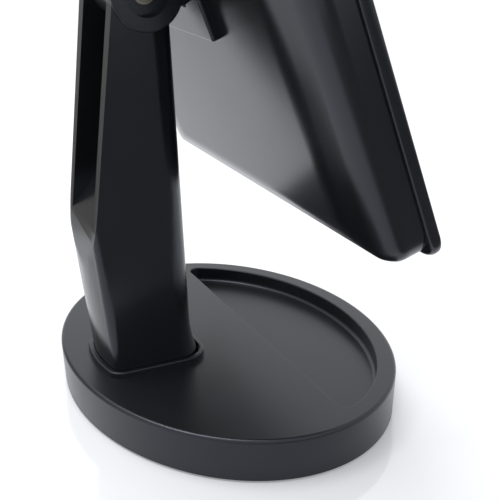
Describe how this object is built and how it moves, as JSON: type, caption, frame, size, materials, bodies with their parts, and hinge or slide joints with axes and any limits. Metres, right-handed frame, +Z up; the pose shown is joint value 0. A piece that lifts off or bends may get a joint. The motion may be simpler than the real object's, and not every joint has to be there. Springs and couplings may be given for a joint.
{
  "type": "vanity mirror with storage tray",
  "caption": "Tabletop vanity mirror with an oval weighted base, an open storage tray, a forked column and a tilting rectangular mirror head.",
  "frame": {"origin": "on the table under the middle of the oval base, where the rubber feet rest", "axes": "+Z up; the mirror faces -Y; +X is on the right of someone who looks into the mirror"},
  "size_m": [0.2768, 0.1798, 0.3692],
  "materials": {
    "black_abs": "satin black moulded plastic",
    "black_frame": "semi-gloss black moulded plastic",
    "black_board": "matt black fibreboard",
    "rubber": "matt rubber",
    "ballast_steel": "rough steel plate",
    "zinc_screw": "zinc plated",
    "bolt_metal": "yellowish zinc plated steel",
    "friction_pad": "acetal washer",
    "mirror": "silvered float glass",
    "foam": "thin foam pad"
  },
  "bodies": {
    "stand": {"base_tray": "black_abs", "base_plate": "black_board", "ballast_plate": "ballast_steel", "rubber_foot_rear_right": "rubber", "rubber_foot_rear_left": "rubber", "rubber_foot_front_left": "rubber", "rubber_foot_front_right": "rubber", "base_screws": "zinc_screw", "column": "black_abs", "column_screws": "zinc_screw", "pivot_bolt": "bolt_metal", "pivot_nut": "bolt_metal", "flat_washer": "bolt_metal", "spring_washer": "bolt_metal", "friction_washer_near": "friction_pad", "friction_washer_far": "friction_pad"},
    "head": {"tilt_arm": "black_abs", "hinge_cover": "black_abs", "hinge_block": "black_abs", "hinge_screws": "zinc_screw", "stiffener_plate": "ballast_steel", "rear_shell": "black_abs", "front_frame": "black_frame", "mirror_glass": "mirror", "foam_pad": "foam", "back_panel": "black_board"}
  },
  "joints": [
    {"name": "head_tilt", "type": "hinge", "parent": "stand", "child": "head", "pos_m": [0, 0.0465, 0.222], "axis": [-1, 0, 0], "range_deg": [-22, 50]}
  ]
}
